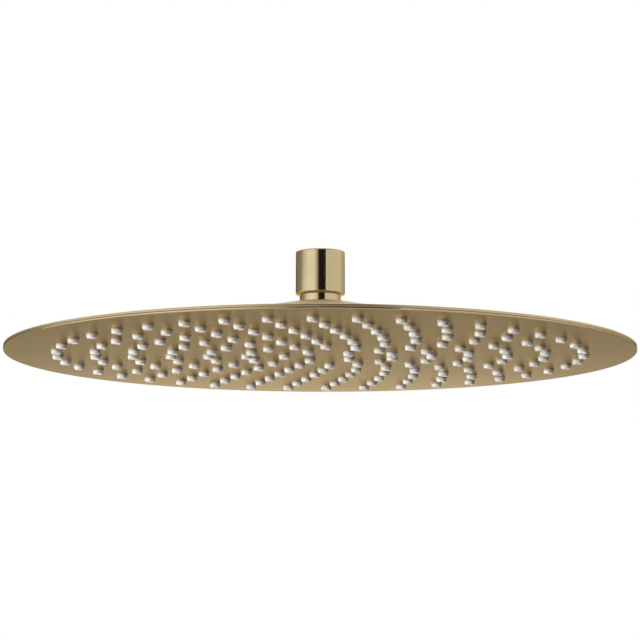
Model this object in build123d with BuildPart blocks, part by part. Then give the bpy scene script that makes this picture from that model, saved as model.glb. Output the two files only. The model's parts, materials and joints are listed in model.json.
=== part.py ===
"""Round slim rain shower head on a ball joint, with a G1/2 union nut.

Millimetres. The origin is the centre of the inlet thread where its wall starts, with +Z up and out of
the nut, so the head hangs below it. Everything but the nozzles, spokes and studs turns about Z.
"""

import os
from math import cos, pi, radians, sqrt, tan

from build123d import *

# Head and its two sheets
head_d = 300.0
face_sheet = 1.0
back_sheet = 1.2
rim_flange_w = 7.0
rim_round = 0.35
seam_round = 0.3
rim_bend = 20.0
crown_land = 4.1
crown_bend = 6.0
mouth_round = 0.3
back_dip = 1.2

# Nozzles
nozzle_inset = 18.0
ring_pitch = 18.0
inner_ring_count = 5
ring_step_count = 5
nozzle_start_angle = 34.5
nozzle_proud = 2.2
nozzle_tip_d = 4.8
nozzle_root_d = 5.6
nozzle_bore_d = 1.2
nozzle_fit = 0.05

# Silicone mat and the grid that holds it down
mat_t = 1.2
mat_border = 4.0
grid_bar_w = 3.0
grid_t = 2.0
grid_headroom = 0.3
spoke_count = 5
spoke_turn = 6.0
stud_d = 3.0
stud_end = 0.8
stud_clear = 0.25
stud_pad_d = 8.0
stud_washer_d = 7.0
stud_washer_t = 0.5
stud_nut_across_flats = 5.5
stud_nut_t = 2.4
stud_nut_fit = 0.05

# Inlet nut, G1/2 inside: the plain wall is the thread's minor diameter
thread_major_d = 20.955
thread_depth = 1.162
thread_l = 11.5
thread_lead_in = 0.8
relief_clear = 0.12
nut_wall = 1.1
nut_shoulder = 0.79
nut_h = 21.05
nut_foot_round = 1.1
nut_top_round = 0.6

# Ball stem
neck_show = 4.15
neck_chamfer = 0.4
neck_run_clear = 0.08
ball_d = 25.0
ball_foot = 5.5
stem_bore_d = 10.0
stem_rise = 0.2

# Spring ring that keeps the nut on the stem
clip_t = 1.1
clip_w = 1.4
clip_gap = 4.0
clip_rise = 3.3
clip_bite = 0.85
clip_side_clear = 0.15
clip_edge_clear = 0.25

# Inlet washer, strainer and flow regulator
washer_t = 2.0
washer_bore_d = 12.0
washer_edge_clear = 0.2
washer_spare = 0.1
filter_t = 0.4
filter_rim_w = 1.0
filter_rise = 1.2
regulator_d = 15.0
regulator_h = 5.6
regulator_fit = 0.1
regulator_wall = 1.6
regulator_floor = 3.0
regulator_post_d = 5.2
regulator_hole_d = 1.6
regulator_hole_count = 8
regulator_ring_t = 1.8
regulator_ring_w = 1.8

# Ball socket
tilt_limit = 8.0
swing_clear = 0.35
ball_clear = 0.08
lip_t = 2.0
seat_wall = 1.5
seat_above_equator = 0.4
seat_fit = 0.05
seal_h = 4.2
seal_touch_drop = 2.5
seal_clear = 0.1
slip_washer_t = 1.0
slip_washer_clear = 0.2
ring_nut_t = 4.0
ring_nut_wall = 2.4
ring_nut_slot_count = 4
ring_nut_slot_w = 3.0
ring_nut_slot_deep = 1.5
boss_wall = 3.2
boss_shoulder = 0.5
flow_gap = 4.7

# Radii
head_r = head_d / 2
thread_r = thread_major_d / 2 - thread_depth
relief_r = thread_major_d / 2 + relief_clear
nut_r = relief_r + nut_wall
nut_bore_r = relief_r - nut_shoulder
neck_r = nut_bore_r - neck_run_clear
ball_r = ball_d / 2
stem_bore_r = stem_bore_d / 2
socket_r = ball_r + ball_clear
seat_r = socket_r + seat_wall
boss_bore_r = seat_r + seat_fit
boss_r = boss_bore_r + boss_wall
flange_r = head_r - rim_flange_w
nozzle_tip_r = nozzle_tip_d / 2
nozzle_root_r = nozzle_root_d / 2
stud_r = stud_d / 2
counterbore_r = regulator_d / 2 + regulator_fit

# The mouth of the socket lets the neck swing to the tilt limit and ends below on the ball's seat
swing = tan(radians(tilt_limit))
mouth_base = neck_r / cos(radians(tilt_limit)) + (back_sheet + lip_t) * swing + swing_clear
mouth_r = (
    mouth_base + swing * sqrt(socket_r**2 * (1 + swing**2) - mouth_base**2)
) / (1 + swing**2)
seat_rise = sqrt(socket_r**2 - mouth_r**2)
crown_r = mouth_r + crown_land

# Heights, from the inlet down
nut_top = thread_lead_in
nut_foot = nut_top - nut_h
relief_h = stem_rise + filter_t + washer_t + washer_spare
relief_floor = -thread_l - relief_h
stem_top = relief_floor + stem_rise
crown_z = nut_foot - neck_show
lip_top = crown_z - back_sheet
lip_foot = lip_top - lip_t
ball_z = lip_foot - seat_rise
seat_foot = ball_z + seat_above_equator
seal_foot = seat_foot - seal_h
slip_washer_foot = seal_foot - slip_washer_t
boss_foot = slip_washer_foot - ring_nut_t
mat_top = boss_foot - flow_gap
face_top = mat_top - mat_t
face_z = face_top - face_sheet
rim_top = face_top + back_sheet
grid_top = mat_top + grid_t
stud_top = grid_top + stud_washer_t + stud_nut_t + stud_end
neck_foot = ball_z + sqrt(ball_r**2 - neck_r**2)
clip_z = nut_foot + clip_rise
filter_top = stem_top + filter_t
nozzle_tip_z = face_z - nozzle_proud

# Nozzle rings, from the middle outwards: each has its radius and count
nozzle_field_r = flange_r - nozzle_inset
inner_ring_min_r = inner_ring_count * nozzle_root_d / pi
ring_gaps = int((nozzle_field_r - inner_ring_min_r) // ring_pitch)
ring_radii = [nozzle_field_r - ring_pitch * (ring_gaps - i) for i in range(ring_gaps + 1)]
ring_counts = [inner_ring_count] + [ring_step_count * (i + 2) for i in range(1, ring_gaps + 1)]
nozzle_spots = [
    spot
    for radius, count in zip(ring_radii, ring_counts)
    for spot in PolarLocations(radius, count, start_angle=nozzle_start_angle)
]
mat_r = nozzle_field_r + mat_border


def back_underside(radius):
    """Height of the inside of the back at a radius."""
    share = (flange_r - radius) / (flange_r - crown_r)
    return face_top + share * (crown_z - rim_top) - 4 * back_dip * share * (1 - share)


# Grid bars run midway between nozzle rings, wherever the back leaves room for them and for the studs
grid_radii = [
    radius + ring_pitch / 2
    for radius in ring_radii[:-1]
    if back_underside(radius + ring_pitch / 2 + grid_bar_w / 2) > grid_top + grid_headroom
]
stud_radii = [
    radius
    for radius in grid_radii[1::2]
    if back_underside(radius + stud_pad_d / 2) > stud_top + grid_headroom
]
spoke_angle = nozzle_start_angle + spoke_turn
stud_spots = [
    spot
    for radius in stud_radii
    for spot in PolarLocations(radius, spoke_count, start_angle=spoke_angle)
]

os.makedirs("parts", exist_ok=True)

# Face plate: flat sheet with a hole for every nozzle
with BuildPart() as face_plate:
    with BuildSketch(Plane.XY.offset(face_z)):
        Circle(head_r)
        with Locations(*nozzle_spots):
            Circle(nozzle_root_r + nozzle_fit, mode=Mode.SUBTRACT)
    extrude(amount=face_sheet)
    fillet(face_plate.faces().sort_by(Axis.Z)[0].outer_wire().edges(), rim_round)
    fillet(face_plate.faces().sort_by(Axis.Z)[-1].outer_wire().edges(), seam_round)
face_plate.part.label = "face_plate"
export_step(face_plate.part, "parts/face_plate.step")

# Back shell: thin sheet that sweeps up from the rim's flange to the flat crown
with BuildPart() as back_shell:
    with BuildSketch(Plane.XZ) as back_profile:
        with BuildLine():
            sweep_mid = (crown_r + flange_r) / 2
            dip_z = (crown_z + rim_top) / 2 - back_dip
            Polyline((crown_r, crown_z), (mouth_r, crown_z), (mouth_r, lip_top), (crown_r, lip_top))
            ThreePointArc((crown_r, lip_top), (sweep_mid, dip_z - back_sheet), (flange_r, face_top))
            Polyline((flange_r, face_top), (head_r, face_top), (head_r, rim_top), (flange_r, rim_top))
            ThreePointArc((flange_r, rim_top), (sweep_mid, dip_z), (crown_r, crown_z))
        make_face()
        for corner, radius in (
            ((mouth_r, crown_z), mouth_round),
            ((crown_r, crown_z), crown_bend),
            ((flange_r, rim_top), rim_bend),
            ((head_r, rim_top), rim_round),
            ((head_r, face_top), seam_round),
        ):
            fillet(back_profile.vertices().sort_by_distance(corner)[0], radius)
    revolve(axis=Axis.Z)
back_shell.part.label = "back_shell"
export_step(back_shell.part, "parts/back_shell.step")

# Nozzle mat: one silicone moulding, a flat mat with a tapered nozzle through every hole in the face
with BuildPart(Plane.XY.offset(nozzle_tip_z)) as nozzle_mat:
    with BuildSketch(Plane.XY.offset(face_top)):
        Circle(mat_r)
        with Locations(*stud_spots):
            Circle(stud_r + stud_clear, mode=Mode.SUBTRACT)
    extrude(amount=mat_t)
    with Locations(*nozzle_spots):
        Cone(
            bottom_radius=nozzle_tip_r,
            top_radius=nozzle_root_r,
            height=face_top - nozzle_tip_z,
            align=(Align.CENTER, Align.CENTER, Align.MIN),
        )
    with BuildSketch(Plane.XY.offset(nozzle_tip_z)):
        with Locations(*nozzle_spots):
            Circle(nozzle_bore_d / 2)
    extrude(amount=mat_top - nozzle_tip_z, mode=Mode.SUBTRACT)
nozzle_mat.part.label = "nozzle_mat"
export_step(nozzle_mat.part, "parts/nozzle_mat.step")

# Mat retainer: flat bars between the nozzle rings, joined by spokes, with a pad at each stud
with BuildPart() as mat_retainer:
    with BuildSketch(Plane.XY.offset(mat_top)):
        for radius in reversed(grid_radii):
            Circle(radius + grid_bar_w / 2)
            Circle(radius - grid_bar_w / 2, mode=Mode.SUBTRACT)
        spoke_l = grid_radii[-1] - grid_radii[0]
        with PolarLocations(grid_radii[0] + spoke_l / 2, spoke_count, start_angle=spoke_angle):
            Rectangle(spoke_l, grid_bar_w)
        with Locations(*stud_spots):
            Circle(stud_pad_d / 2)
            Circle(stud_r + stud_clear, mode=Mode.SUBTRACT)
    extrude(amount=grid_t)
mat_retainer.part.label = "mat_retainer"
export_step(mat_retainer.part, "parts/mat_retainer.step")

# Retainer studs: welded to the inside of the face plate
with BuildPart() as retainer_studs:
    with BuildSketch(Plane.XY.offset(face_top)):
        with Locations(*stud_spots):
            Circle(stud_r)
    extrude(amount=stud_top - face_top)
retainer_studs.part.label = "retainer_studs"
export_step(retainer_studs.part, "parts/retainer_studs.step")

# Retainer washers
with BuildPart() as retainer_washers:
    with BuildSketch(Plane.XY.offset(grid_top)):
        with Locations(*stud_spots):
            Circle(stud_washer_d / 2)
            Circle(stud_r + stud_clear, mode=Mode.SUBTRACT)
    extrude(amount=stud_washer_t)
retainer_washers.part.label = "retainer_washers"
export_step(retainer_washers.part, "parts/retainer_washers.step")

# Retainer nuts
with BuildPart() as retainer_nuts:
    with BuildSketch(Plane.XY.offset(grid_top + stud_washer_t)):
        with Locations(*stud_spots):
            RegularPolygon(stud_nut_across_flats / 2, 6, major_radius=False)
            Circle(stud_r + stud_nut_fit, mode=Mode.SUBTRACT)
    extrude(amount=stud_nut_t)
retainer_nuts.part.label = "retainer_nuts"
export_step(retainer_nuts.part, "parts/retainer_nuts.step")

# Socket boss: brazed under the crown, with a lip over the ball's seat
with BuildPart() as socket_boss:
    shoulder_r = crown_r - boss_shoulder
    with BuildSketch(Plane.XZ):
        with BuildLine():
            Polyline(
                (mouth_r, lip_top),
                (shoulder_r, lip_top),
                (boss_r, lip_top - (boss_r - shoulder_r)),
                (boss_r, boss_foot),
                (boss_bore_r, boss_foot),
                (boss_bore_r, lip_foot),
                (mouth_r, lip_foot),
                close=True,
            )
        make_face()
    revolve(axis=Axis.Z)
socket_boss.part.label = "socket_boss"
export_step(socket_boss.part, "parts/socket_boss.step")

# Upper seat: plastic ring with a hollow round seat for the top of the ball
with BuildPart() as upper_seat:
    seat_foot_r = sqrt(socket_r**2 - seat_above_equator**2)
    seat_mid_r = sqrt(socket_r**2 - (seat_rise / 2) ** 2)
    with BuildSketch(Plane.XZ):
        with BuildLine():
            Polyline((seat_foot_r, seat_foot), (seat_r, seat_foot), (seat_r, lip_foot), (mouth_r, lip_foot))
            ThreePointArc((mouth_r, lip_foot), (seat_mid_r, ball_z + seat_rise / 2), (seat_foot_r, seat_foot))
        make_face()
    revolve(axis=Axis.Z)
upper_seat.part.label = "upper_seat"
export_step(upper_seat.part, "parts/upper_seat.step")

# Ball seal: rubber ring whose cone bears on the ball just below its widest part
with BuildPart() as ball_seal:
    touch_r = sqrt(ball_r**2 - seal_touch_drop**2)
    lean = seal_touch_drop / touch_r
    seal_top_r = touch_r + lean * (seat_foot - ball_z + seal_touch_drop) + seal_clear
    seal_foot_r = seal_top_r - lean * seal_h
    with BuildSketch(Plane.XZ):
        with BuildLine():
            Polyline(
                (seal_top_r, seat_foot),
                (seat_r, seat_foot),
                (seat_r, seal_foot),
                (seal_foot_r, seal_foot),
                close=True,
            )
        make_face()
    revolve(axis=Axis.Z)
ball_seal.part.label = "ball_seal"
export_step(ball_seal.part, "parts/ball_seal.step")

# Slip washer: flat plastic ring that lets the ring nut turn without twisting the seal
with BuildPart() as slip_washer:
    with BuildSketch(Plane.XY.offset(slip_washer_foot)):
        Circle(seat_r)
        Circle(seal_foot_r + slip_washer_clear, mode=Mode.SUBTRACT)
    extrude(amount=slip_washer_t)
slip_washer.part.label = "slip_washer"
export_step(slip_washer.part, "parts/slip_washer.step")

# Ring nut: closes the socket from below, slotted for a pin spanner
with BuildPart() as ring_nut:
    with BuildSketch(Plane.XY.offset(boss_foot)):
        Circle(seat_r)
        Circle(seat_r - ring_nut_wall, mode=Mode.SUBTRACT)
    extrude(amount=ring_nut_t)
    with BuildSketch(Plane.XY.offset(boss_foot)):
        with PolarLocations(0, ring_nut_slot_count // 2, angular_range=180):
            Rectangle(2 * seat_r, ring_nut_slot_w)
    extrude(amount=ring_nut_slot_deep, mode=Mode.SUBTRACT)
ring_nut.part.label = "ring_nut"
export_step(ring_nut.part, "parts/ring_nut.step")

# Ball stem: turned brass, with the water way through it and a groove for the spring ring
with BuildPart() as ball_stem:
    ball_foot_z = ball_z - ball_foot
    groove_r = neck_r - clip_bite
    groove_h = clip_t / 2 + clip_side_clear
    counterbore_z = stem_top - regulator_h
    with BuildSketch(Plane.XZ):
        with BuildLine():
            ThreePointArc(
                (sqrt(ball_r**2 - ball_foot**2), ball_foot_z), (ball_r, ball_z), (neck_r, neck_foot)
            )
            Polyline(
                (neck_r, neck_foot),
                (neck_r, clip_z - groove_h),
                (groove_r, clip_z - groove_h),
                (groove_r, clip_z + groove_h),
                (neck_r, clip_z + groove_h),
                (neck_r, stem_top - neck_chamfer),
                (neck_r - neck_chamfer, stem_top),
                (counterbore_r, stem_top),
                (counterbore_r, counterbore_z),
                (stem_bore_r, counterbore_z),
                (stem_bore_r, ball_foot_z),
                (sqrt(ball_r**2 - ball_foot**2), ball_foot_z),
            )
        make_face()
    revolve(axis=Axis.Z)
ball_stem.part.label = "ball_stem"
export_step(ball_stem.part, "parts/ball_stem.step")

# Stem clip: open spring ring, half in the stem's groove and half in the nut's
with BuildPart() as stem_clip:
    clip_r = neck_r - clip_bite + clip_side_clear
    with BuildSketch(Plane.XY.offset(clip_z - clip_t / 2)):
        Circle(clip_r + clip_w)
        Circle(clip_r, mode=Mode.SUBTRACT)
        Rectangle(clip_r + clip_w, clip_gap, align=(Align.MIN, Align.CENTER), mode=Mode.SUBTRACT)
    extrude(amount=clip_t)
stem_clip.part.label = "stem_clip"
export_step(stem_clip.part, "parts/stem_clip.step")

# Inlet nut: smooth outside, inlet thread in the top, washer relief and the spring ring's groove below
with BuildPart() as inlet_nut:
    nut_groove_r = clip_r + clip_w + clip_edge_clear
    nut_groove_h = clip_t / 2 + clip_side_clear
    with BuildSketch(Plane.XZ) as nut_profile:
        with BuildLine():
            Polyline(
                (thread_r, 0),
                (thread_r + thread_lead_in, nut_top),
                (nut_r, nut_top),
                (nut_r, nut_foot),
                (nut_bore_r, nut_foot),
                (nut_bore_r, clip_z - nut_groove_h),
                (nut_groove_r, clip_z - nut_groove_h),
                (nut_groove_r, clip_z + nut_groove_h),
                (nut_bore_r, clip_z + nut_groove_h),
                (nut_bore_r, relief_floor),
                (relief_r, relief_floor),
                (relief_r, relief_floor + relief_h),
                (thread_r, relief_floor + relief_h),
                close=True,
            )
        make_face()
        for corner, radius in (((nut_r, nut_top), nut_top_round), ((nut_r, nut_foot), nut_foot_round)):
            fillet(nut_profile.vertices().sort_by_distance(corner)[0], radius)
    revolve(axis=Axis.Z)
inlet_nut.part.label = "inlet_nut"
export_step(inlet_nut.part, "parts/inlet_nut.step")

# Flow regulator: plastic cup with a post, and a ring of holes in its floor
with BuildPart() as flow_regulator:
    regulator_z = stem_top - regulator_h
    cup_r = regulator_d / 2 - regulator_wall
    hole_circle_r = (cup_r + regulator_post_d / 2) / 2
    with BuildSketch(Plane.XY.offset(regulator_z)):
        Circle(regulator_d / 2)
        with PolarLocations(hole_circle_r, regulator_hole_count):
            Circle(regulator_hole_d / 2, mode=Mode.SUBTRACT)
    extrude(amount=regulator_floor)
    with BuildSketch(Plane.XY.offset(regulator_z + regulator_floor)):
        Circle(regulator_d / 2)
        Circle(cup_r, mode=Mode.SUBTRACT)
        Circle(regulator_post_d / 2)
    extrude(amount=regulator_h - regulator_floor)
flow_regulator.part.label = "flow_regulator"
export_step(flow_regulator.part, "parts/flow_regulator.step")

# Regulator ring: elastic ring round the post
with BuildPart() as regulator_ring:
    ring_r = regulator_post_d / 2 + regulator_fit
    with BuildSketch(Plane.XY.offset(regulator_z + regulator_floor)):
        Circle(ring_r + regulator_ring_w)
        Circle(ring_r, mode=Mode.SUBTRACT)
    extrude(amount=regulator_ring_t)
regulator_ring.part.label = "regulator_ring"
export_step(regulator_ring.part, "parts/regulator_ring.step")

# Filter screen: domed strainer whose flat rim lies on the end of the stem
with BuildPart() as filter_screen:
    filter_r = counterbore_r + filter_rim_w
    dome_r = washer_bore_d / 2 - filter_t
    with BuildSketch(Plane.XZ):
        with BuildLine():
            TangentArc((0, filter_top + filter_rise), (dome_r, filter_top), tangent=(1, 0))
            Polyline((dome_r, filter_top), (filter_r, filter_top), (filter_r, stem_top), (dome_r, stem_top))
            TangentArc((0, stem_top + filter_rise), (dome_r, stem_top), tangent=(1, 0))
            Line((0, stem_top + filter_rise), (0, filter_top + filter_rise))
        make_face()
    revolve(axis=Axis.Z)
filter_screen.part.label = "filter_screen"
export_step(filter_screen.part, "parts/filter_screen.step")

# Inlet washer: rubber, clamped between the shower arm and the strainer's rim
with BuildPart() as inlet_washer:
    with BuildSketch(Plane.XY.offset(filter_top)):
        Circle(relief_r - washer_edge_clear)
        Circle(washer_bore_d / 2, mode=Mode.SUBTRACT)
    extrude(amount=washer_t)
inlet_washer.part.label = "inlet_washer"
export_step(inlet_washer.part, "parts/inlet_washer.step")
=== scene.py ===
"""Looks of the rain shower head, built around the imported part.

The visible metal, rubber and silicone pieces get smooth, finely edged meshes with the form of
their solids, the nut gets its cut thread, the strainer its wire mesh and the nozzles their
rounded, dished tips. Sizes are in millimetres and become metres where a mesh is made.
"""

import json
from math import cos, hypot, pi, radians, sin, sqrt, tan

import bpy
from mathutils import Matrix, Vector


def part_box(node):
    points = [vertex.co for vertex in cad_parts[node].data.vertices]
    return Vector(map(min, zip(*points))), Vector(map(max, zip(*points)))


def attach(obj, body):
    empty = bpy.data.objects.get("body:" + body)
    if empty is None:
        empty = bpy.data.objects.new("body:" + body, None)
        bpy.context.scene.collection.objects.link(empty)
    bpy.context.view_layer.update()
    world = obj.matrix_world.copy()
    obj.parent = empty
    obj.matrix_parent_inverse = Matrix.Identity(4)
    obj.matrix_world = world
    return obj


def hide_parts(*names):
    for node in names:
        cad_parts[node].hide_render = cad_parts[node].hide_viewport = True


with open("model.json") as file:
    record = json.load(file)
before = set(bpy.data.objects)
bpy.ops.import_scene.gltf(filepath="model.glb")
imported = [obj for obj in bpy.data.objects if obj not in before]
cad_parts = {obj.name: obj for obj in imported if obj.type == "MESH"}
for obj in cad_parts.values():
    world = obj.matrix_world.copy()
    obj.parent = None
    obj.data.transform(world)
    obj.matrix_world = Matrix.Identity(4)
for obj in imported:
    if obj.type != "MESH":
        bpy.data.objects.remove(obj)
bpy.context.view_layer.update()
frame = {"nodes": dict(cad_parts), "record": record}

MM = 0.001

# Camera of the photograph: where it stands, how far it looks up and how long its lens is
CAMERA_BACK = 1383.1
CAMERA_ASIDE = -0.1
CAMERA_BELOW_FACE = 182.8
CAMERA_RISE = 8.203
CAMERA_ROLL = 0.12
CAMERA_LENS = 165.0
CAMERA_SENSOR = 36.0
CAMERA_NEAREST = 50.0
CAMERA_FARTHEST = 100000.0

# Heights and radii of the solids that the new pieces follow
FACE_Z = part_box("face_plate")[0].z / MM
FACE_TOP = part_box("face_plate")[1].z / MM
MAT_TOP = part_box("nozzle_mat")[1].z / MM
MAT_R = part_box("nozzle_mat")[1].x / MM
CROWN_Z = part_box("back_shell")[1].z / MM
NOZZLE_TIP_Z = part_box("nozzle_mat")[0].z / MM
STRAINER_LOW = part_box("filter_screen")[0].z / MM
STRAINER_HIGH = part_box("filter_screen")[1].z / MM
STRAINER_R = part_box("filter_screen")[1].x / MM

# Copies of the solids: the gap that is welded, and the angles up to which triangles become quads
# and faces are shaded as one
WELD_GAP = 0.002
QUAD_FACE_ANGLE = 1.0
QUAD_SHAPE_ANGLE = 40.0
SMOOTH_ANGLE = 30.0
FLAT_FACE_WEIGHT = 100

# Nozzle rings, from the middle outwards, and the holes for the studs between them
RING_RADII = (17.0, 35.0, 53.0, 71.0, 89.0, 107.0, 125.0)
RING_COUNTS = (5, 15, 20, 25, 30, 35, 40)
RING_START = 34.5
NOZZLE_TIP_R = 2.4
NOZZLE_ROOT_R = 2.8
NOZZLE_BORE_R = 0.6
NOZZLE_ROUND = 0.25
NOZZLE_DISH = 0.2
NOZZLE_SIDES = 12
NOZZLE_SMOOTH_ANGLE = 50.0
# Height above the nozzle tip where the painted shade towards the face begins
NOZZLE_UNSHADED_TIP = 0.9
TIP_FACING = -0.99
MAT_SIDES = 128
STUD_RADII = (44.0, 80.0)
STUD_COUNT = 5
STUD_START = 40.5
STUD_HOLE_R = 1.75

# How far a cutter reaches past what it cuts
CUT_PAST = 1.0

# Inlet thread, G1/2
THREAD_MAJOR_R = 10.4775
THREAD_PITCH = 1.814
THREAD_FROM = 1.6
THREAD_TO = -12.4
THREAD_FLAT = 0.28
THREAD_REACH = 1.6
THREAD_FLANK = 27.5
THREAD_STEPS = 64

# Strainer: woven dome in a flat rim
STRAINER_SHEET = 0.4
STRAINER_DOME_R = 5.6
STRAINER_DOME_RISE = 1.2
STRAINER_OVERLAP = 0.25
STRAINER_MESHES = 22
STRAINER_WIRE = 0.18
STRAINER_SIDES = 64

# Materials: the range in which most of a noise value lies, and the gold's tones
NOISE_LOW = 0.3
NOISE_HIGH = 0.7
GOLD_DEEP = (0.66, 0.52, 0.30)
GOLD_PALE = (0.69, 0.55, 0.325)
GOLD_EDGE = (0.86, 0.715, 0.46)
WHITE = (1, 1, 1)

# Satin of the sheets by height: the face, the polished edge of the face sheet, and the back sheet
# up to the crown
SATIN = (
    (FACE_Z, 0.19),
    (FACE_Z + 0.3, 0.0),
    (FACE_TOP - 0.05, 0.0),
    (FACE_TOP + 0.05, 0.2),
    (CROWN_Z, 0.35),
)

# Stage: the floor's place and its tones near and far, the light of the world, and where a flat's
# fall towards its sides starts and stops, as shares of its width
FLOOR_DROP = 2100.0
FLOOR_SIDE = 60000.0
FLOOR_NEAR = 1000.0
FLOOR_FAR = 7000.0
FLOOR_NEAR_TONE = 0.7
FLOOR_FAR_TONE = 1.0
FLOOR_MIRRORED = 0.4
WORLD_FILL = 0.02
SIDE_START = 0.11
SIDE_STOP = 0.24


def nothing_selected():
    """Leaves every object unselected and none active."""
    bpy.ops.object.select_all(action="DESELECT")
    bpy.context.view_layer.objects.active = None


def only(piece):
    """Makes a piece the only selected and the active object."""
    nothing_selected()
    piece.select_set(True)
    bpy.context.view_layer.objects.active = piece


def edit(piece, select="SELECT"):
    """Opens a piece for editing, with all of it or nothing selected."""
    only(piece)
    bpy.ops.object.mode_set(mode="EDIT")
    bpy.ops.mesh.select_all(action=select)


def done():
    """Closes the piece that is being edited."""
    bpy.ops.object.mode_set(mode="OBJECT")


def added(name):
    """Names the object that was just added."""
    piece = bpy.context.object
    piece.name = name
    piece.data.name = name
    return piece


def apply_modifiers(piece):
    """Makes every modifier of a piece part of its mesh."""
    only(piece)
    for modifier in list(piece.modifiers):
        bpy.ops.object.modifier_apply(modifier=modifier.name)


def place_in_mesh(piece):
    """Moves a piece's place, turn and scale into its mesh."""
    only(piece)
    bpy.ops.object.transform_apply(location=True, rotation=True, scale=True)


def smooth(piece, angle=SMOOTH_ANGLE):
    """Smooth shading up to an angle between faces."""
    only(piece)
    bpy.ops.object.shade_smooth_by_angle(angle=radians(angle))


def flat_faces(piece):
    """Keeps the shading of wide flat faces true up to the rounded edges beside them."""
    weights = piece.modifiers.new("weights", "WEIGHTED_NORMAL")
    weights.mode = "FACE_AREA"
    weights.weight = FLAT_FACE_WEIGHT
    weights.keep_sharp = True
    apply_modifiers(piece)


def smooth_copy(node, name):
    """A welded, smoothly shaded copy of a CAD node that stands for it."""
    only(frame["nodes"][node])
    bpy.ops.object.duplicate()
    piece = added(name)
    for key in list(piece.keys()):
        del piece[key]
    piece.parent = None
    edit(piece)
    bpy.ops.mesh.remove_doubles(threshold=WELD_GAP * MM)
    bpy.ops.mesh.tris_convert_to_quads(
        face_threshold=radians(QUAD_FACE_ANGLE),
        shape_threshold=radians(QUAD_SHAPE_ANGLE),
    )
    done()
    bpy.ops.mesh.customdata_custom_splitnormals_clear()
    smooth(piece)
    flat_faces(piece)
    return piece


# Materials


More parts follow.
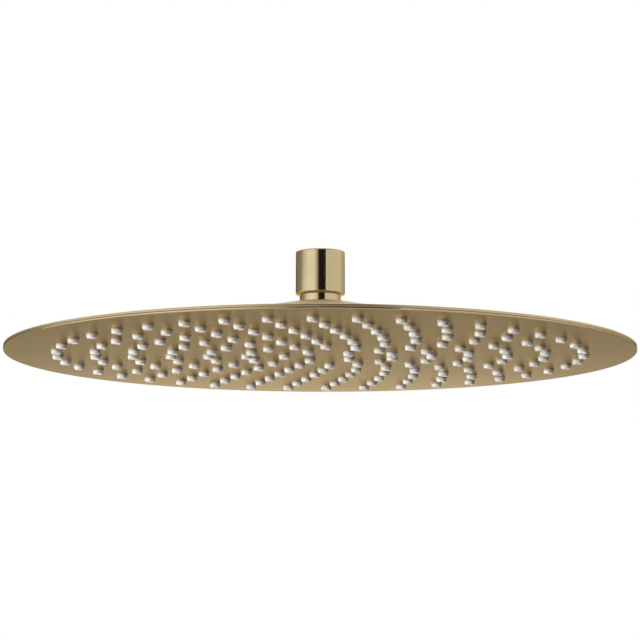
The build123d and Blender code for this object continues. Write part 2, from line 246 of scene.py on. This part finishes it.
class Finish:
    """A material with short calls for its nodes."""

    def __init__(self, name):
        self.material = bpy.data.materials.new(name)
        self.material.use_nodes = True
        self.tree = self.material.node_tree
        self.shader = self.tree.nodes["Principled BSDF"]
        self.coordinates = self.tree.nodes.new("ShaderNodeTexCoord")

    def set(self, **sockets):
        """Constant values on the shader's own sockets."""
        for name, value in sockets.items():
            label = name.replace("_", " ").title().replace("Ior", "IOR")
            self.shader.inputs[label].default_value = value

    def node(self, kind, **settings):
        """A node with its properties set."""
        made = self.tree.nodes.new(kind)
        for name, value in settings.items():
            setattr(made, name, value)
        return made

    def join(self, source, target):
        """Links an output to an input."""
        self.tree.links.new(source, target)

    def stretched(self, scale):
        """Object coordinates, stretched along each axis."""
        mapping = self.node("ShaderNodeMapping")
        mapping.inputs["Scale"].default_value = scale
        self.join(self.coordinates.outputs["Object"], mapping.inputs["Vector"])
        return mapping.outputs["Vector"]

    def axes(self):
        """Object coordinates, one output for each axis."""
        parts = self.node("ShaderNodeSeparateXYZ")
        self.join(self.coordinates.outputs["Object"], parts.inputs["Vector"])
        return parts.outputs

    def turned_coordinates(self, along, around):
        """Radius and height at a fine scale and the turn about Z at a coarse one, for lathe marks."""
        axes = self.axes()
        flat = self.node("ShaderNodeCombineXYZ")
        self.join(axes["X"], flat.inputs["X"])
        self.join(axes["Y"], flat.inputs["Y"])
        radius = self.node("ShaderNodeVectorMath", operation="LENGTH")
        self.join(flat.outputs["Vector"], radius.inputs[0])
        direction = self.node("ShaderNodeVectorMath", operation="NORMALIZE")
        self.join(flat.outputs["Vector"], direction.inputs[0])
        turn = self.node("ShaderNodeVectorMath", operation="SCALE")
        turn.inputs["Scale"].default_value = around
        self.join(direction.outputs["Vector"], turn.inputs[0])
        depth = self.node("ShaderNodeMath", operation="ADD")
        self.join(radius.outputs["Value"], depth.inputs[0])
        self.join(axes["Z"], depth.inputs[1])
        fine = self.node("ShaderNodeMath", operation="MULTIPLY")
        fine.inputs[1].default_value = along
        self.join(depth.outputs["Value"], fine.inputs[0])
        rise = self.node("ShaderNodeCombineXYZ")
        self.join(fine.outputs["Value"], rise.inputs["Z"])
        both = self.node("ShaderNodeVectorMath", operation="ADD")
        self.join(turn.outputs["Vector"], both.inputs[0])
        self.join(rise.outputs["Vector"], both.inputs[1])
        return both.outputs["Vector"]

    def noise(self, vector, detail=3.0, roughness=0.5, scale=1.0):
        """Noise on a vector."""
        made = self.node("ShaderNodeTexNoise")
        made.inputs["Scale"].default_value = scale
        made.inputs["Detail"].default_value = detail
        made.inputs["Roughness"].default_value = roughness
        self.join(vector, made.inputs["Vector"])
        return made.outputs["Fac"]

    def spread(self, value, low, high, start=NOISE_LOW, stop=NOISE_HIGH):
        """Spreads a value, a noise if nothing else is said, over a range of numbers."""
        made = self.node("ShaderNodeMapRange")
        made.inputs["From Min"].default_value = start
        made.inputs["From Max"].default_value = stop
        made.inputs["To Min"].default_value = low
        made.inputs["To Max"].default_value = high
        self.join(value, made.inputs["Value"])
        return made.outputs["Result"]

    def tint(self, value, first, second, socket="Base Color"):
        """Runs the base colour, or another colour, between two colours."""
        ramp = self.node("ShaderNodeValToRGB")
        ends = ramp.color_ramp.elements
        ends[0].color = (*first, 1)
        ends[1].color = (*second, 1)
        ends[0].position = NOISE_LOW
        ends[1].position = NOISE_HIGH
        self.join(value, ramp.inputs["Fac"])
        self.join(ramp.outputs["Color"], self.shader.inputs[socket])

    def profile(self, height, low, high, stops):
        """Runs a value over the height through stops, each a height and a value."""
        ramp = self.node("ShaderNodeValToRGB")
        points = ramp.color_ramp.elements
        while len(points) < len(stops):
            points.new(0.5)
        for point, (stop, value) in zip(points, stops):
            point.position = (stop - low) / (high - low)
            point.color = (value, value, value, 1)
        share = self.spread(height, 0.0, 1.0, low * MM, high * MM)
        self.join(share, ramp.inputs["Fac"])
        return ramp.outputs["Color"]

    def rough(self, value, low, high):
        """Runs the roughness over a noise value."""
        self.join(self.spread(value, low, high), self.shader.inputs["Roughness"])

    def bump(self, value, depth):
        """Raises the surface by a value, to a depth in millimetres."""
        made = self.node("ShaderNodeBump")
        made.inputs["Strength"].default_value = 1.0
        made.inputs["Distance"].default_value = depth * MM
        self.join(value, made.inputs["Height"])
        self.join(made.outputs["Normal"], self.shader.inputs["Normal"])


def brushed_gold_sheet():
    """Gold sheet with short straight hairlines along X, its satin set by height."""
    gold = Finish("brushed_gold_sheet")
    gold.set(metallic=1.0)
    hairlines = gold.noise(gold.stretched((60, 2600, 60)), 4.0, 0.6)
    clouds = gold.noise(gold.stretched((22, 22, 22)))
    gold.tint(clouds, GOLD_DEEP, GOLD_PALE)
    height = gold.axes()["Z"]
    satin = gold.profile(height, FACE_Z, CROWN_Z, SATIN)
    polish = gold.spread(height, NOISE_LOW, NOISE_HIGH, MAT_TOP * MM, CROWN_Z * MM)
    gold.tint(polish, GOLD_EDGE, WHITE, "Specular Tint")
    grain = gold.node("ShaderNodeMath", operation="ADD")
    gold.join(gold.spread(hairlines, 0.10, 0.14), grain.inputs[0])
    gold.join(satin, grain.inputs[1])
    gold.join(grain.outputs["Value"], gold.shader.inputs["Roughness"])
    gold.bump(hairlines, 0.0004)
    return gold.material


def turned_gold():
    """Gold coat over turned brass, with fine lathe marks round the axis."""
    gold = Finish("turned_gold")
    gold.set(metallic=1.0, specular_tint=(*GOLD_EDGE, 1))
    marks = gold.noise(gold.turned_coordinates(5200, 1.5), 3.0, 0.6)
    clouds = gold.noise(gold.stretched((70, 70, 70)), 2.0)
    gold.tint(clouds, (0.67, 0.54, 0.31), (0.73, 0.60, 0.36))
    gold.rough(marks, 0.11, 0.16)
    gold.bump(marks, 0.0008)
    return gold.material


def bare_brass():
    """Brass as it comes off the lathe."""
    brass = Finish("bare_brass")
    brass.set(metallic=1.0)
    marks = brass.noise(brass.turned_coordinates(2600, 1.0), 3.0, 0.6)
    brass.tint(marks, (0.60, 0.44, 0.19), (0.74, 0.57, 0.28))
    brass.rough(marks, 0.25, 0.4)
    brass.bump(marks, 0.004)
    return brass.material


def bare_steel():
    """Plain stainless steel with a fine grain."""
    steel = Finish("bare_steel")
    steel.set(metallic=1.0)
    grain = steel.noise(steel.stretched((900, 900, 2400)))
    steel.tint(grain, (0.52, 0.52, 0.51), (0.64, 0.64, 0.63))
    steel.rough(grain, 0.25, 0.38)
    steel.bump(grain, 0.003)
    return steel.material


def pale_silicone():
    """Soft matt silicone: white at the nozzle tips, with painted shade making it darker where it
    leaves the face.
    """
    silicone = Finish("pale_silicone")
    silicone.set(
        subsurface_weight=0.25,
        subsurface_radius=(1.0, 0.9, 0.8),
        subsurface_scale=0.5 * MM,
        specular_ior_level=0.2,
    )
    skin = silicone.noise(silicone.stretched((1500, 1500, 1500)))
    # Painted shade: the silicone's colour runs darker from this height up to the face
    shade_start_z = NOZZLE_TIP_Z + NOZZLE_UNSHADED_TIP
    height = silicone.axes()["Z"]
    depth = silicone.spread(height, NOISE_HIGH, NOISE_LOW, shade_start_z * MM, FACE_Z * MM)
    silicone.tint(depth, (0.38, 0.345, 0.30), (0.82, 0.78, 0.72))
    silicone.rough(skin, 0.42, 0.56)
    silicone.bump(skin, 0.01)
    return silicone.material


def black_rubber():
    """Matt black rubber."""
    rubber = Finish("black_rubber")
    rubber.set(specular_ior_level=0.3)
    skin = rubber.noise(rubber.stretched((1300, 1300, 1300)), 4.0)
    rubber.tint(skin, (0.022, 0.022, 0.022), (0.045, 0.044, 0.043))
    rubber.rough(skin, 0.6, 0.78)
    rubber.bump(skin, 0.02)
    return rubber.material


def moulded_plastic(name, dark, light):
    """Moulded plastic with a faint eggshell skin."""
    plastic = Finish(name)
    skin = plastic.noise(plastic.stretched((700, 700, 700)))
    plastic.tint(skin, dark, light)
    plastic.rough(skin, 0.36, 0.48)
    plastic.bump(skin, 0.01)
    return plastic.material


FINISHES = {
    "gold_sheet": brushed_gold_sheet(),
    "gold_brass": turned_gold(),
    "plain_brass": bare_brass(),
    "plain_steel": bare_steel(),
    "pale_silicone": pale_silicone(),
    "black_rubber": black_rubber(),
    "white_plastic": moulded_plastic("white_plastic", (0.78, 0.78, 0.75), (0.86, 0.86, 0.83)),
    "blue_plastic": moulded_plastic("blue_plastic", (0.16, 0.33, 0.54), (0.22, 0.40, 0.62)),
    "grey_plastic": moulded_plastic("grey_plastic", (0.40, 0.41, 0.42), (0.48, 0.49, 0.50)),
}


def coat(piece, slot):
    """Gives a piece the one finish of a slot."""
    piece.data.materials.clear()
    piece.data.materials.append(FINISHES[slot])


def fit(piece, node, body, slot):
    """Puts a new piece in a node's stead."""
    coat(piece, slot)
    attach(piece, body)
    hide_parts(node)


# Pieces


def round_bar(name, sides, radius, low, high):
    """A plain upright bar on the axis."""
    nothing_selected()
    bpy.ops.mesh.primitive_cylinder_add(
        vertices=sides,
        radius=radius * MM,
        depth=(high - low) * MM,
        location=(0, 0, (low + high) / 2 * MM),
    )
    bar = added(name)
    place_in_mesh(bar)
    return bar


def combine(piece, other, operation):
    """Joins another piece to this one, or cuts it away, as solids."""
    change = piece.modifiers.new(other.name, "BOOLEAN")
    change.operation = operation
    change.solver = "EXACT"
    change.object = other
    apply_modifiers(piece)
    bpy.data.objects.remove(other)


def ring_spots(radii, counts, start):
    """Places on rings about the axis."""
    spots = []
    for radius, count in zip(radii, counts):
        for index in range(count):
            turn = radians(start + 360 * index / count)
            spots.append((radius * cos(turn), radius * sin(turn)))
    return spots


def copies_at(piece, spots, name):
    """Copies a piece to every spot, joins the copies and drops the first one."""
    copies = []
    for x, y in spots:
        only(piece)
        bpy.ops.object.duplicate()
        copy = bpy.context.object
        copy.location = (x * MM, y * MM, 0)
        copies.append(copy)
    bpy.data.objects.remove(piece)
    nothing_selected()
    for copy in copies:
        copy.select_set(True)
    bpy.context.view_layer.objects.active = copies[0]
    bpy.ops.object.join()
    joined = added(name)
    place_in_mesh(joined)
    return joined


def thread_cutter():
    """The thread's groove as a solid: its section, wound down the bore."""
    thread_r = THREAD_MAJOR_R * MM
    reach = THREAD_REACH * MM
    narrow = THREAD_FLAT * MM / 2
    wide = narrow + reach * tan(radians(THREAD_FLANK))
    nothing_selected()
    bpy.ops.mesh.primitive_plane_add(size=1, location=(0, 0, 0))
    cutter = added("thread_cutter")
    corners = (
        (thread_r, 0, -narrow),
        (thread_r, 0, narrow),
        (thread_r - reach, 0, wide),
        (thread_r - reach, 0, -wide),
    )
    for vertex, corner in zip((0, 1, 3, 2), corners):
        cutter.data.vertices[vertex].co = corner
        cutter.data.vertices[vertex].co.z += THREAD_FROM * MM
    edit(cutter)
    bpy.ops.mesh.delete(type="ONLY_FACE")
    done()
    turns = (THREAD_FROM - THREAD_TO) / THREAD_PITCH
    screw = cutter.modifiers.new("thread", "SCREW")
    screw.axis = "Z"
    screw.angle = -2 * pi * turns
    screw.screw_offset = -THREAD_PITCH * MM * turns
    screw.iterations = 1
    screw.steps = int(THREAD_STEPS * turns)
    screw.render_steps = screw.steps
    apply_modifiers(cutter)
    edit(cutter, "DESELECT")
    bpy.ops.mesh.select_non_manifold()
    bpy.ops.mesh.edge_face_add()
    bpy.ops.mesh.select_all(action="SELECT")
    bpy.ops.mesh.normals_make_consistent(inside=False)
    done()
    return cutter


def threaded_nut():
    """The union nut with its inlet thread cut into the bore."""
    nut = smooth_copy("inlet_nut", "union_nut")
    combine(nut, thread_cutter(), "DIFFERENCE")
    smooth(nut)
    flat_faces(nut)
    fit(nut, "inlet_nut", "inlet", "gold_brass")


def select_tip(nozzle):
    """Opens the nozzle with only the flat end of its tip selected."""
    edit(nozzle, "DESELECT")
    bpy.ops.mesh.select_mode(type="FACE")
    done()
    for polygon in nozzle.data.polygons:
        polygon.select = polygon.normal.z < TIP_FACING
    bpy.ops.object.mode_set(mode="EDIT")


def single_nozzle(root_z):
    """One tapered nozzle on the axis, its tip rounded and dished, up to a height inside the mat."""
    taper = (NOZZLE_ROOT_R - NOZZLE_TIP_R) / (FACE_TOP - NOZZLE_TIP_Z)
    nothing_selected()
    bpy.ops.mesh.primitive_cone_add(
        vertices=NOZZLE_SIDES,
        radius1=NOZZLE_TIP_R * MM,
        radius2=(NOZZLE_TIP_R + taper * (root_z - NOZZLE_TIP_Z)) * MM,
        depth=(root_z - NOZZLE_TIP_Z) * MM,
        location=(0, 0, (root_z + NOZZLE_TIP_Z) / 2 * MM),
    )
    nozzle = added("nozzle")
    place_in_mesh(nozzle)
    select_tip(nozzle)
    bpy.ops.mesh.bevel(
        offset=NOZZLE_ROUND * MM,
        segments=1,
        affect="EDGES",
        clamp_overlap=False,
    )
    done()
    select_tip(nozzle)
    bpy.ops.mesh.inset(thickness=(NOZZLE_TIP_R - NOZZLE_ROUND) / 2 * MM)
    bpy.ops.transform.translate(value=(0, 0, NOZZLE_DISH * MM))
    done()
    return nozzle


def nozzle_field():
    """The silicone mat: one nozzle, copied to every place, joined to the mat and bored."""
    low = NOZZLE_TIP_Z - CUT_PAST
    high = MAT_TOP + CUT_PAST
    nozzle = single_nozzle((FACE_TOP + MAT_TOP) / 2)
    spots = ring_spots(RING_RADII, RING_COUNTS, RING_START)
    studs = ring_spots(STUD_RADII, (STUD_COUNT,) * len(STUD_RADII), STUD_START)
    mat = round_bar("nozzle_field", MAT_SIDES, MAT_R, FACE_TOP, MAT_TOP)
    combine(mat, copies_at(nozzle, spots, "nozzles"), "UNION")
    bore = round_bar("bore", NOZZLE_SIDES, NOZZLE_BORE_R, low, high)
    combine(mat, copies_at(bore, spots, "bores"), "DIFFERENCE")
    hole = round_bar("stud_hole", NOZZLE_SIDES, STUD_HOLE_R, FACE_TOP - CUT_PAST, high)
    combine(mat, copies_at(hole, studs, "stud_holes"), "DIFFERENCE")
    smooth(mat, NOZZLE_SMOOTH_ANGLE)
    fit(mat, "nozzle_mat", "head", "pale_silicone")


def strainer_rim():
    """The strainer's flat rim."""
    rim = round_bar(
        "strainer",
        STRAINER_SIDES,
        STRAINER_R,
        STRAINER_LOW,
        STRAINER_LOW + STRAINER_SHEET,
    )
    mouth = round_bar(
        "mouth",
        STRAINER_SIDES,
        STRAINER_DOME_R - STRAINER_OVERLAP,
        STRAINER_LOW - CUT_PAST,
        STRAINER_HIGH + CUT_PAST,
    )
    combine(rim, mouth, "DIFFERENCE")
    return rim


def strainer_wires():
    """The strainer's dome: a round net of wire, raised to a part of a ball."""
    side = 2 * (STRAINER_DOME_R + STRAINER_OVERLAP)
    nothing_selected()
    bpy.ops.mesh.primitive_grid_add(
        x_subdivisions=STRAINER_MESHES,
        y_subdivisions=STRAINER_MESHES,
        size=side * MM,
        location=(0, 0, 0),
    )
    wires = added("strainer_wires")
    edit(wires, "DESELECT")
    bpy.ops.mesh.select_mode(type="VERT")
    done()
    ball = (STRAINER_DOME_R**2 + STRAINER_DOME_RISE**2) / (2 * STRAINER_DOME_RISE)
    for vertex in wires.data.vertices:
        radius = hypot(vertex.co.x, vertex.co.y) / MM
        vertex.select = radius > side / 2
        rise = sqrt(ball**2 - min(radius, side / 2) ** 2) - ball + STRAINER_DOME_RISE
        vertex.co.z = (STRAINER_LOW + STRAINER_SHEET / 2 + rise) * MM
    bpy.ops.object.mode_set(mode="EDIT")
    bpy.ops.mesh.delete(type="VERT")
    done()
    wire = wires.modifiers.new("wire", "WIREFRAME")
    wire.thickness = STRAINER_WIRE * MM
    apply_modifiers(wires)
    return wires


def strainer():
    """The strainer: a dome of steel wire in a flat rim."""
    rim = strainer_rim()
    wires = strainer_wires()
    nothing_selected()
    wires.select_set(True)
    rim.select_set(True)
    bpy.context.view_layer.objects.active = rim
    bpy.ops.object.join()
    smooth(rim)
    fit(rim, "filter_screen", "stem", "plain_steel")


threaded_nut()
nozzle_field()
strainer()
for node, name, body, slot in (
    ("ball_stem", "ball_neck", "stem", "gold_brass"),
    ("back_shell", "back_sheet", "head", "gold_sheet"),
    ("face_plate", "face_sheet", "head", "gold_sheet"),
    ("inlet_washer", "inlet_seal", "stem", "black_rubber"),
):
    fit(smooth_copy(node, name), node, body, slot)

for subpart in frame["record"]["subparts"]:
    coat(frame["nodes"][subpart["node"]], subpart["material_slot"])

# Floor, world and lights


def plain_floor():
    """Pale floor far under the hanging head, whiter away from it to the camera, dimmer in mirrors."""
    nothing_selected()
    bpy.ops.mesh.primitive_plane_add(size=FLOOR_SIDE * MM, location=(0, 0, -FLOOR_DROP * MM))
    floor = added("floor")
    pale = Finish("pale_floor")
    clouds = pale.noise(pale.stretched((1, 1, 1)), 2.0, scale=0.8)
    pale.tint(clouds, (0.80, 0.80, 0.80), (0.83, 0.83, 0.83))
    pale.set(roughness=0.8, specular_ior_level=0.0, emission_color=(*WHITE, 1))
    reach = pale.node("ShaderNodeVectorMath", operation="LENGTH")
    pale.join(pale.coordinates.outputs["Object"], reach.inputs[0])
    tone = pale.spread(
        reach.outputs["Value"],
        FLOOR_NEAR_TONE,
        FLOOR_FAR_TONE,
        FLOOR_NEAR * MM,
        FLOOR_FAR * MM,
    )
    path = pale.node("ShaderNodeLightPath")
    seen = pale.node("ShaderNodeMath", operation="MULTIPLY_ADD")
    pale.join(path.outputs["Is Glossy Ray"], seen.inputs[0])
    seen.inputs[1].default_value = FLOOR_MIRRORED
    pale.join(path.outputs["Is Camera Ray"], seen.inputs[2])
    level = pale.node("ShaderNodeMath", operation="MULTIPLY")
    pale.join(tone, level.inputs[0])
    pale.join(seen.outputs["Value"], level.inputs[1])
    pale.join(level.outputs["Value"], pale.shader.inputs["Emission Strength"])
    floor.data.materials.append(pale.material)


def white_world():
    """White to the camera and in reflections, a plain level of light for the rest."""
    world = bpy.data.worlds.new("studio")
    bpy.context.scene.world = world
    world.use_nodes = True
    tree = world.node_tree
    path = tree.nodes.new("ShaderNodeLightPath")
    seen = tree.nodes.new("ShaderNodeMath")
    seen.operation = "MAXIMUM"
    tree.links.new(path.outputs["Is Camera Ray"], seen.inputs[0])
    tree.links.new(path.outputs["Is Glossy Ray"], seen.inputs[1])
    through = tree.nodes.new("ShaderNodeMath")
    through.operation = "MAXIMUM"
    tree.links.new(seen.outputs["Value"], through.inputs[0])
    tree.links.new(path.outputs["Is Transmission Ray"], through.inputs[1])
    level = tree.nodes.new("ShaderNodeMapRange")
    level.inputs["To Min"].default_value = WORLD_FILL
    level.inputs["To Max"].default_value = 1.0
    tree.links.new(through.outputs["Value"], level.inputs["Value"])
    sky = tree.nodes["Background"]
    sky.inputs["Color"].default_value = (*WHITE, 1)
    tree.links.new(level.outputs["Result"], sky.inputs["Strength"])


def towards(azimuth, distance, height):
    """A place round the head: azimuth 0 is the camera's side, and 90 the right of the picture."""
    turn = radians(azimuth)
    return (distance * sin(turn) * MM, -distance * cos(turn) * MM, height * MM)


def panel(name, azimuth, elevation, distance, side, power):
    """A large soft light panel that faces the head and isn't mirrored in it."""
    lamp = bpy.data.lights.new(name, "AREA")
    lamp.shape = "SQUARE"
    lamp.size = side * MM
    lamp.energy = power
    holder = bpy.data.objects.new(name, lamp)
    bpy.context.scene.collection.objects.link(holder)
    rise = radians(elevation)
    holder.location = towards(azimuth, distance * cos(rise), FACE_Z + distance * sin(rise))
    holder.rotation_euler = (radians(90) - rise, 0, radians(azimuth))
    holder.visible_camera = False
    holder.visible_glossy = False


def flat(name, start, stop, distance, low, high, tone, fade=None, across=None, sides=None):
    """A plain studio flat, seen only in reflections, between two azimuths and two heights.

    Its tone may run to another one at its top (fade) or at its higher azimuth (across), and may
    fall to a share of itself away from its middle (sides). In its own coordinates it is 1 wide
    and 1 high.
    """
    nothing_selected()
    middle = (start + stop) / 2
    width = 2 * distance * tan(radians(stop - start) / 2)
    bpy.ops.mesh.primitive_plane_add(
        size=1,
        location=towards(middle, distance, (low + high) / 2),
        rotation=(radians(90), 0, radians(middle)),
    )
    board = added(name)
    board.scale = (width * MM, (high - low) * MM, 1)
    paint = Finish(name)
    paint.set(
        base_color=(0, 0, 0, 1),
        emission_color=(*WHITE, 1),
        emission_strength=tone,
        specular_ior_level=0,
    )
    axes = paint.axes()
    level = None
    if fade is not None:
        level = paint.spread(axes["Y"], tone, fade, -0.5, 0.5)
    if across is not None:
        level = paint.spread(axes["X"], tone, across, -0.5, 0.5)
    if sides is not None:
        aside = paint.node("ShaderNodeMath", operation="ABSOLUTE")
        paint.join(axes["X"], aside.inputs[0])
        share = paint.spread(aside.outputs["Value"], 1.0, sides, SIDE_START, SIDE_STOP)
        both = paint.node("ShaderNodeMath", operation="MULTIPLY")
        both.inputs[1].default_value = tone
        paint.join(share, both.inputs[0])
        if level is not None:
            paint.join(level, both.inputs[1])
        level = both.outputs["Value"]
    if level is not None:
        paint.join(level, paint.shader.inputs["Emission Strength"])
    board.data.materials.append(paint.material)
    board.visible_camera = False
    board.visible_diffuse = False
    board.visible_shadow = False
    board.visible_transmission = False


plain_floor()
white_world()

# Light panels: azimuth, elevation, distance, side and power
panel("left_panel", -75, -30, 1500, 1000, 29)
panel("overhead_panel", 0, 90, 2500, 3000, 60)

# Flats: first and last azimuth, distance, lowest and highest height, and tone
flat("camera_flag", -10, 27, 2300, -400, 800, 0.01)
flat("left_graded_flat", -97, -58, 2400, 315, 760, 0.40, across=1.0)
flat("left_rim_flat", -125, -28, 2300, 40, 290, 1.4)
flat("right_rim_flat", 30, 125, 2300, 40, 265, 1.2)
flat("camera_left_flat", -28, -10, 2350, -400, 800, 1.0, across=0.30)
flat("upper_left_flat", -97, 8, 2400, 770, 8000, 0.34, fade=0.70)
flat("upper_right_flat", 8, 112, 2400, 770, 8000, 0.34, fade=0.70)
flat("upper_rear_flat", 115, 260, 2500, 1000, 5600, 0.95)
flat("front_low_flat", -70, 70, 1500, -1900, -450, 0.70)
flat("right_flat", 32, 110, 2500, -60, 1500, 0.72)
flat("right_low_flag", 20, 118, 2300, -2000, -60, 0.60)
flat("rear_left_flat", -180, -97, 2600, -60, 1000, 0.28)
flat("rear_right_flat", 112, 180, 2700, -60, 1000, 0.58)
flat("rear_dark_flat", 150, 212, 1500, -60, 260, 0.04)
flat("rear_low_flat", 125, 235, 300, -700, -105, 0.31, sides=0.86)
flat("rear_graded_flat", 125, 235, 300, -105, -55, 0.31, fade=1.55, sides=0.86)

# Camera


def photograph_camera():
    """The camera at the photograph's place, looking up along +Y."""
    lens = bpy.data.cameras.new("camera")
    lens.lens = CAMERA_LENS
    lens.sensor_width = CAMERA_SENSOR
    lens.clip_start = CAMERA_NEAREST * MM
    lens.clip_end = CAMERA_FARTHEST * MM
    camera = bpy.data.objects.new("camera", lens)
    bpy.context.scene.collection.objects.link(camera)
    camera_z = FACE_Z - CAMERA_BELOW_FACE
    camera.location = (CAMERA_ASIDE * MM, -CAMERA_BACK * MM, camera_z * MM)
    rise = Matrix.Rotation(radians(90 + CAMERA_RISE), 3, "X")
    roll = Matrix.Rotation(radians(CAMERA_ROLL), 3, "Z")
    camera.rotation_euler = (rise @ roll).to_euler()
    bpy.context.scene.camera = camera


photograph_camera()
bpy.context.scene.view_settings.view_transform = "Standard"
